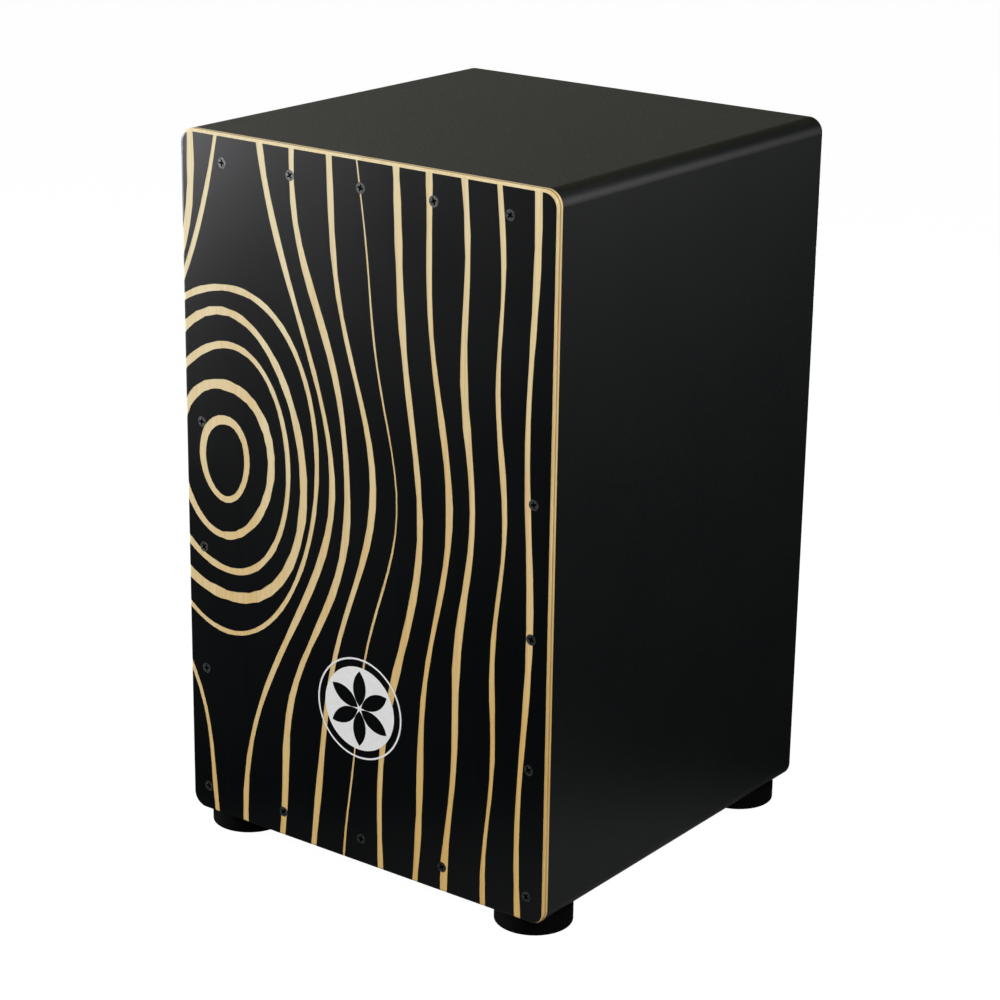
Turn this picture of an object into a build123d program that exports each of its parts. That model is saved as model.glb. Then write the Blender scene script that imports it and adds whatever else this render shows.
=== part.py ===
from build123d import *

import math
import os

# Cajon, a box drum played sitting on its seat. All sizes are in millimetres.
# Origin: on the floor, under the middle of the footprint. +Z is up, the front plate faces -Y,
# and left and right are as seen by someone who faces the front plate.

# Outer box
WIDTH = 290.0
DEPTH = 290.0
BOX_HEIGHT = 460.0
EDGE_RADIUS = 10.0
FOOT_HEIGHT = 12.0

# Sheet thicknesses
FRONT_T = 4.0
BACK_T = 6.0
SIDE_T = 9.0
SEAT_T = 12.0
BOTTOM_T = 9.0
RABBET_LIP = 4.0
BATTEN = 15.0
FRONT_ROUNDOVER = 1.8
BACK_ROUNDOVER = 1.0

# Sound hole in the back panel
SOUND_HOLE_R = 60.0
SOUND_HOLE_UP = 265.0
SOUND_HOLE_ROUNDOVER = 2.0

# Countersunk wood screws of the front plate and the back panel
SCREW_HEAD_R = 3.5
SCREW_HEAD_RIM = 0.3
SCREW_HEAD_DEPTH = 2.4
SCREW_SHANK_R = 1.75
SCREW_LENGTH = 18.0
SCREW_TIP = 4.0
RECESS_WIDTH = 1.25
RECESS_SPAN = 4.4
RECESS_DEPTH = 1.6
HOLE_GAP = 0.02
TOP_ROW_INSET = 18.5
BOTTOM_ROW_INSET = 17.0
SIDE_ROW_INSET = 13.5
TOP_ROW_PITCH = 55.4
SIDE_ROW_PITCH = 84.7
TURN_STEP = 37.0

# Feet
FOOT_R = 25.0
FOOT_INSET = 26.5
FOOT_BOTTOM_RADIUS = 1.0
FOOT_TOP_RADIUS = 0.5
FOOT_RECESS_R = 9.0
FOOT_RECESS_DEPTH = 6.0
FOOT_HOLE_R = 2.2
FOOT_WASHER_R = 8.6
FOOT_WASHER_T = 1.2
FOOT_SCREW_SHANK_R = 2.0
FOOT_SCREW_LENGTH = 14.5

# Small pan-head screws of the snare fittings
PAN_HEAD_R = 3.0
PAN_SHANK_R = 1.5
PAN_LENGTH = 9.5
PAN_HEAD_TALL_SHARE = 0.65
PAN_CROWN_SHARE = 0.6
OVERLAP = 0.1

# Snare bar and its pivots
BAR_UP = 235.0
BAR_BEHIND_PLATE = 29.0
BAR_TALL = 24.0
BAR_THICK = 14.0
BAR_EDGE_RADIUS = 1.5
BAR_HALF_LENGTH = 121.0
PIN_R = 3.0
PIN_RUN_GAP = 0.05
PIN_IN_BAR = 16.0
PIN_OUT_OF_BAR = 13.5
SPACER_R = 6.0
SPACER_T = 1.2
BOSS_R = 8.0
BOSS_FACE_X = 122.5
FLANGE_T = 4.0
FLANGE_HALF_Y = 10.0
FLANGE_HALF_Z = 22.0
FLANGE_SCREW_SPREAD = 15.0

# Snare wires on their solder strips
STRIP_X = 38.0
STRIP_LEAN = 12.0
STRIP_WIDTH = 56.0
STRIP_TALL = 12.0
STRIP_T = 1.0
STRIP_CORNER = 2.0
STRIP_SCREW_SPREAD = 24.0
WIRE_COUNT = 12
WIRE_PITCH = 3.4
WIRE_R = 0.9
WIRE_LENGTH = 187.0
WIRE_TAIL = 2.0
WIRE_GAP_AT_TIP = 0.3
WIRE_GAP_AT_STRIP = 0.02

# Crank fork, cross nut and tension screw
ARM = 30.0
FORK_PLATE_HALF_X = 20.0
FORK_PLATE_TALL = 20.0
FORK_T = 2.0
FORK_PLATE_CORNER = 3.0
FORK_HALF_GAP = 7.0
FORK_NOSE_R = 9.0
FORK_ARM_TALL = 16.0
FORK_SCREW_SPREAD = 15.0
SLOT_TALL = 10.2
SLOT_LONG = 12.2
NUT_R = 5.0
NUT_HALF_LENGTH = 10.5
NUT_BORE_R = 3.0
NUT_CHAMFER = 0.5
TENSION_R = 2.95
TENSION_TOP_ABOVE_BAR = 24.0
TENSION_HEAD_R = 5.0
TENSION_HEAD_TALL = 6.0
TENSION_HEAD_CHAMFER = 0.5
TENSION_TIP_CHAMFER = 0.8
HEX_ACROSS_FLATS = 5.0
HEX_DEPTH = 3.0
FERRULE_FLANGE_R = 10.0
FERRULE_FLANGE_T = 1.5
FERRULE_R = 6.5
FERRULE_BORE_R = 5.08
FERRULE_WALL = 2.0
FERRULE_CHAMFER = 0.6
RUN_GAP = 0.08
THRUST_WASHER_R = 8.0
THRUST_WASHER_T = 1.0
COLLAR_R = 7.0
COLLAR_TALL = 8.0
COLLAR_CHAMFER = 0.6
GRUB_R = 1.5
GRUB_LENGTH = 3.7
GRUB_SOCKET_CORNER_R = 0.85
GRUB_SOCKET_DEPTH = 1.4

# Derived planes
FRONT_Y = -DEPTH / 2
PLATE_BACK_Y = FRONT_Y + FRONT_T
BACK_Y = DEPTH / 2
PANEL_FRONT_Y = BACK_Y - BACK_T
SIDE_OUT_X = WIDTH / 2
SIDE_IN_X = SIDE_OUT_X - SIDE_T
LIP_X = SIDE_OUT_X - RABBET_LIP
BOX_Z = FOOT_HEIGHT
TOP_Z = FOOT_HEIGHT + BOX_HEIGHT
FLOOR_Z = BOX_Z + BOTTOM_T
CEILING_Z = TOP_Z - SEAT_T
BAR_Y = PLATE_BACK_Y + BAR_BEHIND_PLATE
BAR_Z = BOX_Z + BAR_UP
BAR_FRONT_Y = BAR_Y - BAR_THICK / 2
BAR_REAR_Y = BAR_Y + BAR_THICK / 2
ROD_Y = BAR_Y + ARM
SIDES = {"left": -1, "right": 1}


def block(x, y, z):
    """Rectangular block between a low and a high value along each axis."""
    spans = (x, y, z)
    middle = [(low + high) / 2 for low, high in spans]
    size = [high - low for low, high in spans]
    return Pos(*middle) * Box(*size)


def rod(start, end, radius):
    """Round bar between two points."""
    axis = Vector(*end) - Vector(*start)
    return extrude(Plane(origin=start, z_dir=axis) * Circle(radius), amount=axis.length)


def spun(points):
    """Solid turned about Z from (radius, height) corners."""
    outline = make_face(Polyline(*points, close=True))
    return Rot(90, 0, 0) * revolve(outline, Axis.Y)


def rounded_box(y_low, y_high):
    """Slice of the whole box between two depths, with its four long edges rounded."""
    whole = block((-SIDE_OUT_X, SIDE_OUT_X), (y_low, y_high), (BOX_Z, TOP_Z))
    return fillet(whole.edges().filter_by(Axis.Y), EDGE_RADIUS)


def mirrored(span, side):
    """A low and high value swapped to the left side when side is -1."""
    return tuple(sorted(side * value for value in span))


# Screws -------------------------------------------------------------------------------------


def cross_recess():
    """Cutter for a cross-head driver, centred on the head's top."""
    arm = Box(RECESS_SPAN, RECESS_WIDTH, 2 * RECESS_DEPTH)
    return arm + Rot(0, 0, 90) * arm


def countersunk(gap=0.0):
    """Countersunk wood screw that points down from z = 0, grown by a gap for its hole."""
    head_r = SCREW_HEAD_R + gap
    shank_r = SCREW_SHANK_R + gap
    return spun(
        [
            (0, 0),
            (head_r, 0),
            (head_r, -SCREW_HEAD_RIM - gap),
            (shank_r, -SCREW_HEAD_DEPTH - gap),
            (shank_r, SCREW_TIP - SCREW_LENGTH),
            (0, -SCREW_LENGTH - gap),
        ]
    )


def pan_head(head_r, shank_r, length, gap=0.0):
    """Pan-head screw that points down, with the underside of its head at z = 0."""
    head_tall = PAN_HEAD_TALL_SHARE * head_r
    if gap:
        return rod((0, 0, 1), (0, 0, -length - gap), shank_r + gap)
    head = Cylinder(head_r, 2 * head_tall)
    head = fillet(head.edges().group_by(Axis.Z)[-1], PAN_CROWN_SHARE * head_tall)
    head = split(head, Plane.XY, keep=Keep.TOP)
    corner = (shank_r, 2 * shank_r - length)
    shank = spun([(0, OVERLAP), (shank_r, OVERLAP), corner, (0, -length)])
    recess = Pos(0, 0, head_tall) * cross_recess()
    return head + shank - recess


def placed(piece, points, direction):
    """Copies of a piece at points, its +Z turned to a direction, each turned a bit further."""
    copies = []
    for index, point in enumerate(points):
        turn = Rot(0, 0, TURN_STEP * index)
        copies.append(Plane(origin=point, z_dir=direction) * (turn * piece))
    return copies


def front_screw_points():
    """Five screws along the top, three up each side and five along the bottom."""
    side_x = SIDE_OUT_X - SIDE_ROW_INSET
    low_z = BOX_Z + BOTTOM_ROW_INSET
    top_z = TOP_Z - TOP_ROW_INSET
    points = [(TOP_ROW_PITCH * i, FRONT_Y, top_z) for i in range(-2, 3)]
    points += [(side_x * i / 2, FRONT_Y, low_z) for i in range(-2, 3)]
    for side in SIDES.values():
        points += [(side * side_x, FRONT_Y, low_z + SIDE_ROW_PITCH * i) for i in (1, 2, 3)]
    return points


def back_screw_points():
    """Three screws along the top and the bottom and three up each side."""
    side_x = SIDE_OUT_X - SIDE_ROW_INSET
    low_z = BOX_Z + BOTTOM_ROW_INSET
    top_z = TOP_Z - TOP_ROW_INSET
    step = (top_z - low_z) / 4
    points = [(side_x * i, BACK_Y, z) for i in (-1, 0, 1) for z in (low_z, top_z)]
    for side in SIDES.values():
        points += [(side * side_x, BACK_Y, low_z + step * i) for i in (1, 2, 3)]
    return points


def foot_points(z):
    """Centres of the four feet at a height."""
    x = SIDE_OUT_X - FOOT_INSET
    return [(sx * x, sy * x, z) for sx in (-1, 1) for sy in (-1, 1)]


def flange_screw_points():
    """Screws through the two pivot blocks, on their inner flange faces."""
    x = SIDE_IN_X - FLANGE_T
    spread = (-FLANGE_SCREW_SPREAD, FLANGE_SCREW_SPREAD)
    return {side: [(side * x, BAR_Y, BAR_Z + dz) for dz in spread] for side in SIDES.values()}


def front_screw_holes():
    return placed(countersunk(HOLE_GAP), front_screw_points(), (0, -1, 0))


def back_screw_holes():
    return placed(countersunk(HOLE_GAP), back_screw_points(), (0, 1, 0))


# Box ----------------------------------------------------------------------------------------


def front_plate():
    """Thin plywood plate that is struck, with its front edge rounded over."""
    plate = rounded_box(FRONT_Y, PLATE_BACK_Y)
    rim = plate.faces().sort_by(Axis.Y)[0].edges()
    return fillet(rim, FRONT_ROUNDOVER) - front_screw_holes()


def back_panel():
    """Panel that closes the back, with the sound hole."""
    panel = rounded_box(PANEL_FRONT_Y, BACK_Y)
    panel = fillet(panel.faces().sort_by(Axis.Y)[-1].edges(), BACK_ROUNDOVER)
    hole_z = BOX_Z + SOUND_HOLE_UP
    panel -= rod((0, PANEL_FRONT_Y - 1, hole_z), (0, BACK_Y + 1, hole_z), SOUND_HOLE_R)
    hole_rims = panel.edges().filter_by(
        lambda e: e.geom_type == GeomType.CIRCLE and math.isclose(e.radius, SOUND_HOLE_R)
    )
    return fillet(hole_rims, SOUND_HOLE_ROUNDOVER) - back_screw_holes()


def body_slice(x, z):
    """Block between the front plate and the back panel, trimmed to the rounded box."""
    depth = (PLATE_BACK_Y, PANEL_FRONT_Y)
    return block(x, depth, z) & rounded_box(*depth)


def side_panel(side):
    """Side panel with a rabbet along its top and bottom for the seat and the bottom panel."""
    panel = body_slice(mirrored((SIDE_IN_X, SIDE_OUT_X), side), (BOX_Z, TOP_Z))
    rabbet_x = mirrored((SIDE_IN_X, LIP_X), side)
    depth = (PLATE_BACK_Y, PANEL_FRONT_Y)
    panel -= block(rabbet_x, depth, (CEILING_Z, TOP_Z))
    panel -= block(rabbet_x, depth, (BOX_Z, FLOOR_Z))
    holes = pan_head(PAN_HEAD_R, PAN_SHANK_R, PAN_LENGTH, HOLE_GAP)
    return panel - placed(holes, flange_screw_points()[side], (-side, 0, 0))


def seat_panel():
    """Top panel, the seat."""
    return body_slice((-LIP_X, LIP_X), (CEILING_Z, TOP_Z))


def bottom_panel():
    """Bottom panel with the ferrule's hole and the foot screws' pilot holes."""
    panel = body_slice((-LIP_X, LIP_X), (BOX_Z, FLOOR_Z))
    panel -= rod((0, ROD_Y, BOX_Z - 1), (0, ROD_Y, FLOOR_Z + 1), FERRULE_R + HOLE_GAP)
    pilot = pan_head(FOOT_SCREW_SHANK_R, FOOT_SCREW_SHANK_R, FOOT_SCREW_LENGTH, HOLE_GAP)
    return panel - placed(pilot, foot_points(FOOT_RECESS_DEPTH - FOOT_WASHER_T), (0, 0, -1))


def battens(y, holes):
    """Four battens glued behind the edges of the opening, as a dictionary by place."""
    high = (CEILING_Z - BATTEN, CEILING_Z)
    low = (FLOOR_Z, FLOOR_Z + BATTEN)
    across = (-SIDE_IN_X, SIDE_IN_X)
    upright = (low[1], high[0])
    made = {"top": block(across, y, high), "bottom": block(across, y, low)}
    for name, side in SIDES.items():
        made[name] = block(mirrored((SIDE_IN_X - BATTEN, SIDE_IN_X), side), y, upright)
    return {place: batten - holes for place, batten in made.items()}


# Feet ---------------------------------------------------------------------------------------


def foot():
    """Rubber foot on the floor at the origin, recessed from below for its screw."""
    body = Pos(0, 0, FOOT_HEIGHT / 2) * Cylinder(FOOT_R, FOOT_HEIGHT)
    body = fillet(body.edges().group_by(Axis.Z)[0], FOOT_BOTTOM_RADIUS)
    body = fillet(body.edges().group_by(Axis.Z)[-1], FOOT_TOP_RADIUS)
    body -= rod((0, 0, -1), (0, 0, FOOT_RECESS_DEPTH), FOOT_RECESS_R)
    return body - rod((0, 0, 0), (0, 0, FOOT_HEIGHT + 1), FOOT_HOLE_R)


def foot_washer():
    """Steel washer that spreads the foot screw's load, seated in the foot's recess."""
    low = FOOT_RECESS_DEPTH - FOOT_WASHER_T
    disc = rod((0, 0, low), (0, 0, FOOT_RECESS_DEPTH), FOOT_WASHER_R)
    return disc - rod((0, 0, 0), (0, 0, FOOT_HEIGHT), FOOT_HOLE_R)


def foot_screws():
    """Screws that hold the feet to the bottom panel."""
    screw = pan_head(2 * FOOT_SCREW_SHANK_R, FOOT_SCREW_SHANK_R, FOOT_SCREW_LENGTH)
    return placed(screw, foot_points(FOOT_RECESS_DEPTH - FOOT_WASHER_T), (0, 0, -1))


# Snare bar and pivots -----------------------------------------------------------------------


def pivot_block(side):
    """Moulded bearing block screwed to a side panel, bored for the pivot pin."""
    flange_x = SIDE_IN_X - FLANGE_T
    flange = block(
        mirrored((flange_x, SIDE_IN_X), side),
        (BAR_Y - FLANGE_HALF_Y, BAR_Y + FLANGE_HALF_Y),
        (BAR_Z - FLANGE_HALF_Z, BAR_Z + FLANGE_HALF_Z),
    )
    flange = fillet(flange.edges().filter_by(Axis.X), FLANGE_HALF_Y / 2)
    boss = rod((side * BOSS_FACE_X, BAR_Y, BAR_Z), (side * flange_x, BAR_Y, BAR_Z), BOSS_R)
    bore = rod((0, BAR_Y, BAR_Z), (side * WIDTH, BAR_Y, BAR_Z), PIN_R + PIN_RUN_GAP)
    holes = pan_head(PAN_HEAD_R, PAN_SHANK_R, PAN_LENGTH, HOLE_GAP)
    screw_holes = placed(holes, flange_screw_points()[side], (-side, 0, 0))
    return flange + boss - bore - screw_holes


def pivot_pin(side):
    """Steel pin pressed into the end of the snare bar."""
    inner = side * (BAR_HALF_LENGTH - PIN_IN_BAR)
    outer = side * (BAR_HALF_LENGTH + PIN_OUT_OF_BAR)
    return rod((inner, BAR_Y, BAR_Z), (outer, BAR_Y, BAR_Z), PIN_R)


def pivot_spacer(side):
    """Nylon washer between the bar's end and the bearing block."""
    gap = (BOSS_FACE_X - BAR_HALF_LENGTH - SPACER_T) / 2
    near = side * (BAR_HALF_LENGTH + gap)
    far = side * (BAR_HALF_LENGTH + gap + SPACER_T)
    disc = rod((near, BAR_Y, BAR_Z), (far, BAR_Y, BAR_Z), SPACER_R)
    return disc - rod((0, BAR_Y, BAR_Z), (side * WIDTH, BAR_Y, BAR_Z), PIN_R + HOLE_GAP)


def strip_frame(side):
    """Plane of a solder strip: x along the strip, y up the wires, z out of the bar's front."""
    lean = math.radians(side * STRIP_LEAN)
    along = (math.cos(lean), 0, -math.sin(lean))
    return Plane(origin=(side * STRIP_X, BAR_FRONT_Y, BAR_Z), x_dir=along, z_dir=(0, -1, 0))


def strip_screw_points(side):
    """Places of a strip's two screws, on the strip's front face."""
    frame = strip_frame(side)
    spread = (-STRIP_SCREW_SPREAD, STRIP_SCREW_SPREAD)
    return [frame.from_local_coords((u, 0, STRIP_T)) for u in spread]


def fork_screw_points():
    """Places of the crank fork's two screws, on its base plate."""
    spread = (-FORK_SCREW_SPREAD, FORK_SCREW_SPREAD)
    return [(x, BAR_REAR_Y + FORK_T, BAR_Z) for x in spread]


def bar_screw_holes():
    """Cutters for every screw that enters the snare bar."""
    hole = pan_head(PAN_HEAD_R, PAN_SHANK_R, PAN_LENGTH, HOLE_GAP)
    cutters = placed(hole, fork_screw_points(), (0, 1, 0))
    for side in SIDES.values():
        cutters += placed(hole, strip_screw_points(side), (0, -1, 0))
    return cutters


def snare_bar():
    """Hardwood bar across the box that carries the snare wires and tilts on its end pins."""
    bar = block(
        (-BAR_HALF_LENGTH, BAR_HALF_LENGTH),
        (BAR_FRONT_Y, BAR_REAR_Y),
        (BAR_Z - BAR_TALL / 2, BAR_Z + BAR_TALL / 2),
    )
    bar = fillet(bar.edges().filter_by(Axis.X), BAR_EDGE_RADIUS)
    for side in SIDES.values():
        inner = (side * (BAR_HALF_LENGTH - PIN_IN_BAR), BAR_Y, BAR_Z)
        bar -= rod(inner, (side * WIDTH, BAR_Y, BAR_Z), PIN_R + HOLE_GAP)
    return bar - bar_screw_holes()


# Snare wires --------------------------------------------------------------------------------


def snare_strip(side):
    """Thin brass strip that the ends of one fan of wires are soldered to."""
    frame = strip_frame(side)
    outline = RectangleRounded(STRIP_WIDTH, STRIP_TALL, STRIP_CORNER)
    strip = extrude(frame * outline, amount=STRIP_T)
    hole = pan_head(PAN_HEAD_R, PAN_SHANK_R, PAN_LENGTH, HOLE_GAP)
    return strip - placed(hole, strip_screw_points(side), (0, -1, 0))


def snare_wires(side):
    """One fan of parallel wires, leaning forward so that their tips meet the front plate."""
    frame = strip_frame(side)
    tail_out = STRIP_T + WIRE_R + WIRE_GAP_AT_STRIP
    tip_out = BAR_FRONT_Y - PLATE_BACK_Y - WIRE_R - WIRE_GAP_AT_TIP
    wires = []
    for index in range(WIRE_COUNT):
        u = (index - (WIRE_COUNT - 1) / 2) * WIRE_PITCH
        tail = frame.from_local_coords((u, -WIRE_TAIL, tail_out))
        tip = frame.from_local_coords((u, WIRE_LENGTH - WIRE_TAIL, tip_out))
        wires.append(rod(tail, tip, WIRE_R))
    return wires


# Tension gear -------------------------------------------------------------------------------


def crank_fork():
    """Steel fork on the back of the snare bar whose slotted cheeks hold the cross nut."""
    plate_y = (BAR_REAR_Y, BAR_REAR_Y + FORK_T)
    half_tall = FORK_PLATE_TALL / 2
    plate = block(
        (-FORK_PLATE_HALF_X, FORK_PLATE_HALF_X), plate_y, (BAR_Z - half_tall, BAR_Z + half_tall)
    )
    fork = fillet(plate.edges().filter_by(Axis.Y), FORK_PLATE_CORNER)
    arm_z = (BAR_Z - FORK_ARM_TALL / 2, BAR_Z + FORK_ARM_TALL / 2)
    for side in SIDES.values():
        cheek_x = mirrored((FORK_HALF_GAP, FORK_HALF_GAP + FORK_T), side)
        nose = rod((cheek_x[0], ROD_Y, BAR_Z), (cheek_x[1], ROD_Y, BAR_Z), FORK_NOSE_R)
        fork += block(cheek_x, (plate_y[0], ROD_Y), arm_z) + nose
    slot_plane = Plane(origin=(-WIDTH / 2, ROD_Y, BAR_Z), x_dir=(0, 1, 0), z_dir=(1, 0, 0))
    fork -= extrude(slot_plane * SlotOverall(SLOT_LONG, SLOT_TALL), amount=WIDTH)
    hole = pan_head(PAN_HEAD_R, PAN_SHANK_R, PAN_LENGTH, HOLE_GAP)
    return fork - placed(hole, fork_screw_points(), (0, 1, 0))


def cross_nut():
    """Barrel nut across the fork, with the tension screw's thread as a plain bore."""
    barrel = rod((-NUT_HALF_LENGTH, ROD_Y, BAR_Z), (NUT_HALF_LENGTH, ROD_Y, BAR_Z), NUT_R)
    barrel = chamfer(barrel.edges().filter_by(GeomType.CIRCLE), NUT_CHAMFER)
    return barrel - rod((0, ROD_Y, BOX_Z), (0, ROD_Y, TOP_Z), NUT_BORE_R)


def tension_screw():
    """Long socket-head screw that stands on the ferrule, its socket open to below."""
    head_top = FLOOR_Z - FERRULE_WALL - RUN_GAP
    head_low = head_top - TENSION_HEAD_TALL
    head = rod((0, ROD_Y, head_low), (0, ROD_Y, head_top), TENSION_HEAD_R)
    head = chamfer(head.edges().group_by(Axis.Z)[0], TENSION_HEAD_CHAMFER)
    tip = BAR_Z + TENSION_TOP_ABOVE_BAR
    shaft = rod((0, ROD_Y, head_top), (0, ROD_Y, tip), TENSION_R)
    shaft = chamfer(shaft.edges().group_by(Axis.Z)[-1], TENSION_TIP_CHAMFER)
    corner_r = HEX_ACROSS_FLATS / math.sqrt(3)
    socket = Plane(origin=(0, ROD_Y, head_low - 1)) * RegularPolygon(corner_r, 6)
    return head + shaft - extrude(socket, amount=HEX_DEPTH + 1)


def ferrule():
    """Flanged cup pressed into the bottom panel, with the screw's head inside it."""
    flange_z = BOX_Z - FERRULE_FLANGE_T
    cup = rod((0, ROD_Y, flange_z), (0, ROD_Y, BOX_Z), FERRULE_FLANGE_R)
    cup = chamfer(cup.edges().group_by(Axis.Z)[0], FERRULE_CHAMFER)
    cup += rod((0, ROD_Y, BOX_Z), (0, ROD_Y, FLOOR_Z), FERRULE_R)
    cup -= rod((0, ROD_Y, 0), (0, ROD_Y, FLOOR_Z - FERRULE_WALL), FERRULE_BORE_R)
    return cup - rod((0, ROD_Y, 0), (0, ROD_Y, TOP_Z), TENSION_R + RUN_GAP)


def thrust_washer():
    """Nylon washer between the bottom panel and the lock collar."""
    disc = rod((0, ROD_Y, FLOOR_Z), (0, ROD_Y, FLOOR_Z + THRUST_WASHER_T), THRUST_WASHER_R)
    return disc - rod((0, ROD_Y, 0), (0, ROD_Y, TOP_Z), TENSION_R + RUN_GAP)


def grub_axis():
    """Start and end of the collar's grub screw."""
    z = FLOOR_Z + THRUST_WASHER_T + RUN_GAP + COLLAR_TALL / 2
    start = ROD_Y + TENSION_R + RUN_GAP
    return (0, start, z), (0, start + GRUB_LENGTH, z)


def lock_collar():
    """Collar clamped on the tension screw, which keeps it from dropping out."""
    low = FLOOR_Z + THRUST_WASHER_T + RUN_GAP
    collar = rod((0, ROD_Y, low), (0, ROD_Y, low + COLLAR_TALL), COLLAR_R)
    collar = chamfer(collar.edges().group_by(Axis.Z)[-1], COLLAR_CHAMFER)
    collar -= rod((0, ROD_Y, 0), (0, ROD_Y, TOP_Z), TENSION_R + HOLE_GAP)
    start, end = grub_axis()
    return collar - rod(start, (end[0], end[1] + COLLAR_R, end[2]), GRUB_R + HOLE_GAP)


def grub_screw():
    """Socket grub screw that locks the collar."""
    start, end = grub_axis()
    body = rod(start, end, GRUB_R)
    socket = Plane(origin=end, z_dir=(0, -1, 0)) * RegularPolygon(GRUB_SOCKET_CORNER_R, 6)
    return body - extrude(socket, amount=GRUB_SOCKET_DEPTH)


def build():
    """All nodes of the cajon by name."""
    parts = {
        "front_plate": front_plate(),
        "back_panel": back_panel(),
        "seat_panel": seat_panel(),
        "bottom_panel": bottom_panel(),
        "front_plate_screws": placed(
            countersunk() - cross_recess(), front_screw_points(), (0, -1, 0)
        ),
        "back_panel_screws": placed(
            countersunk() - cross_recess(), back_screw_points(), (0, 1, 0)
        ),
        "foot_washers": [Pos(*point) * foot_washer() for point in foot_points(0)],
        "foot_screws": foot_screws(),
        "snare_bar": snare_bar(),
        "pivot_spacers": [pivot_spacer(side) for side in SIDES.values()],
        "crank_fork": crank_fork(),
        "cross_nut": cross_nut(),
        "tension_screw": tension_screw(),
        "ferrule": ferrule(),
        "thrust_washer": thrust_washer(),
        "lock_collar": lock_collar(),
        "collar_grub_screw": grub_screw(),
    }
    for place, batten in battens((PLATE_BACK_Y, PLATE_BACK_Y + BATTEN), front_screw_holes()).items():
        parts[f"front_batten_{place}"] = batten
    for place, batten in battens((PANEL_FRONT_Y - BATTEN, PANEL_FRONT_Y), back_screw_holes()).items():
        parts[f"rear_batten_{place}"] = batten
    foot_names = ("foot_front_left", "foot_rear_left", "foot_front_right", "foot_rear_right")
    for name, point in zip(foot_names, foot_points(0)):
        parts[name] = Pos(*point) * foot()
    pan = pan_head(PAN_HEAD_R, PAN_SHANK_R, PAN_LENGTH)
    parts["crank_fork_screws"] = placed(pan, fork_screw_points(), (0, 1, 0))
    parts["pivot_block_screws"] = []
    parts["snare_strip_screws"] = []
    for name, side in SIDES.items():
        parts[f"{name}_panel"] = side_panel(side)
        parts[f"pivot_block_{name}"] = pivot_block(side)
        parts[f"pivot_pin_{name}"] = pivot_pin(side)
        parts[f"snare_strip_{name}"] = snare_strip(side)
        parts[f"snare_wires_{name}"] = snare_wires(side)
        parts["pivot_block_screws"] += placed(pan, flange_screw_points()[side], (-side, 0, 0))
        parts["snare_strip_screws"] += placed(pan, strip_screw_points(side), (0, -1, 0))
    return parts


os.makedirs("parts", exist_ok=True)
for node, shape in build().items():
    whole = Compound(children=shape) if isinstance(shape, list) else shape
    export_step(whole, f"parts/{node}.step")
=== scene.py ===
import math

import bmesh
import bpy
import numpy as np
from mathutils import Matrix, Vector
from mathutils.geometry import delaunay_2d_cdt

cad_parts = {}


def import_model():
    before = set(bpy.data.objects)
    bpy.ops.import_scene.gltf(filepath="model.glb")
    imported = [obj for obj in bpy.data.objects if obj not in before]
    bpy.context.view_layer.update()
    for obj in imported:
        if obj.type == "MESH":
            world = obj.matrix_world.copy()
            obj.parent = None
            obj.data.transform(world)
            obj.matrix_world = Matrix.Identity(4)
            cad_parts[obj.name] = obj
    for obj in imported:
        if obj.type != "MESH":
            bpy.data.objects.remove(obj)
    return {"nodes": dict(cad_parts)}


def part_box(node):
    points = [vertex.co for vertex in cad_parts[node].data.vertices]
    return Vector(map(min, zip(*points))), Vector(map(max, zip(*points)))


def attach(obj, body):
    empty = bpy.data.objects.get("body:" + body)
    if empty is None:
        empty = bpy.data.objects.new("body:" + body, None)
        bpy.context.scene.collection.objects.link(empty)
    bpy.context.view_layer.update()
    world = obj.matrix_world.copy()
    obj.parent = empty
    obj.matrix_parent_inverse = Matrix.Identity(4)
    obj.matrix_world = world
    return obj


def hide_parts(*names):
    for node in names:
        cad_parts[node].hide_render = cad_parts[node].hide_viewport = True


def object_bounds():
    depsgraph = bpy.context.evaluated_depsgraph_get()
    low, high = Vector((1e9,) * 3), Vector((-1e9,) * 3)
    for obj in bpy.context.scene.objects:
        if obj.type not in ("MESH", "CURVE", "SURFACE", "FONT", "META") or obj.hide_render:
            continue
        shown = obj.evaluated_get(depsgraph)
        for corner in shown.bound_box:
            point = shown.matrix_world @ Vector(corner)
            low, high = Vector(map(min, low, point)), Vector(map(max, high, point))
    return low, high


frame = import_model()
cad_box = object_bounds()
nodes = frame["nodes"]
MM = 0.001

# Places taken from the frame -----------------------------------------------------------------

PLATE_LOW, PLATE_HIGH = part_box("front_plate")
FRONT_Y = PLATE_LOW.y
PLATE_T = PLATE_HIGH.y - PLATE_LOW.y
CENTRE = (cad_box[0] + cad_box[1]) / 2
SIZE = cad_box[1] - cad_box[0]


def islands(node):
    """Corner points of each separate solid of a CAD node, as arrays."""
    mesh = bmesh.new()
    mesh.from_mesh(nodes[node].data)
    bmesh.ops.remove_doubles(mesh, verts=mesh.verts, dist=1e-6)
    seen, found = set(), []
    for first in mesh.verts:
        if first in seen:
            continue
        seen.add(first)
        group, queue = [], [first]
        while queue:
            vert = queue.pop()
            group.append(vert.co[:])
            for edge in vert.link_edges:
                other = edge.other_vert(vert)
                if other not in seen:
                    seen.add(other)
                    queue.append(other)
        found.append(np.array(group))
    mesh.free()
    return found


# Materials -----------------------------------------------------------------------------------


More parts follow.
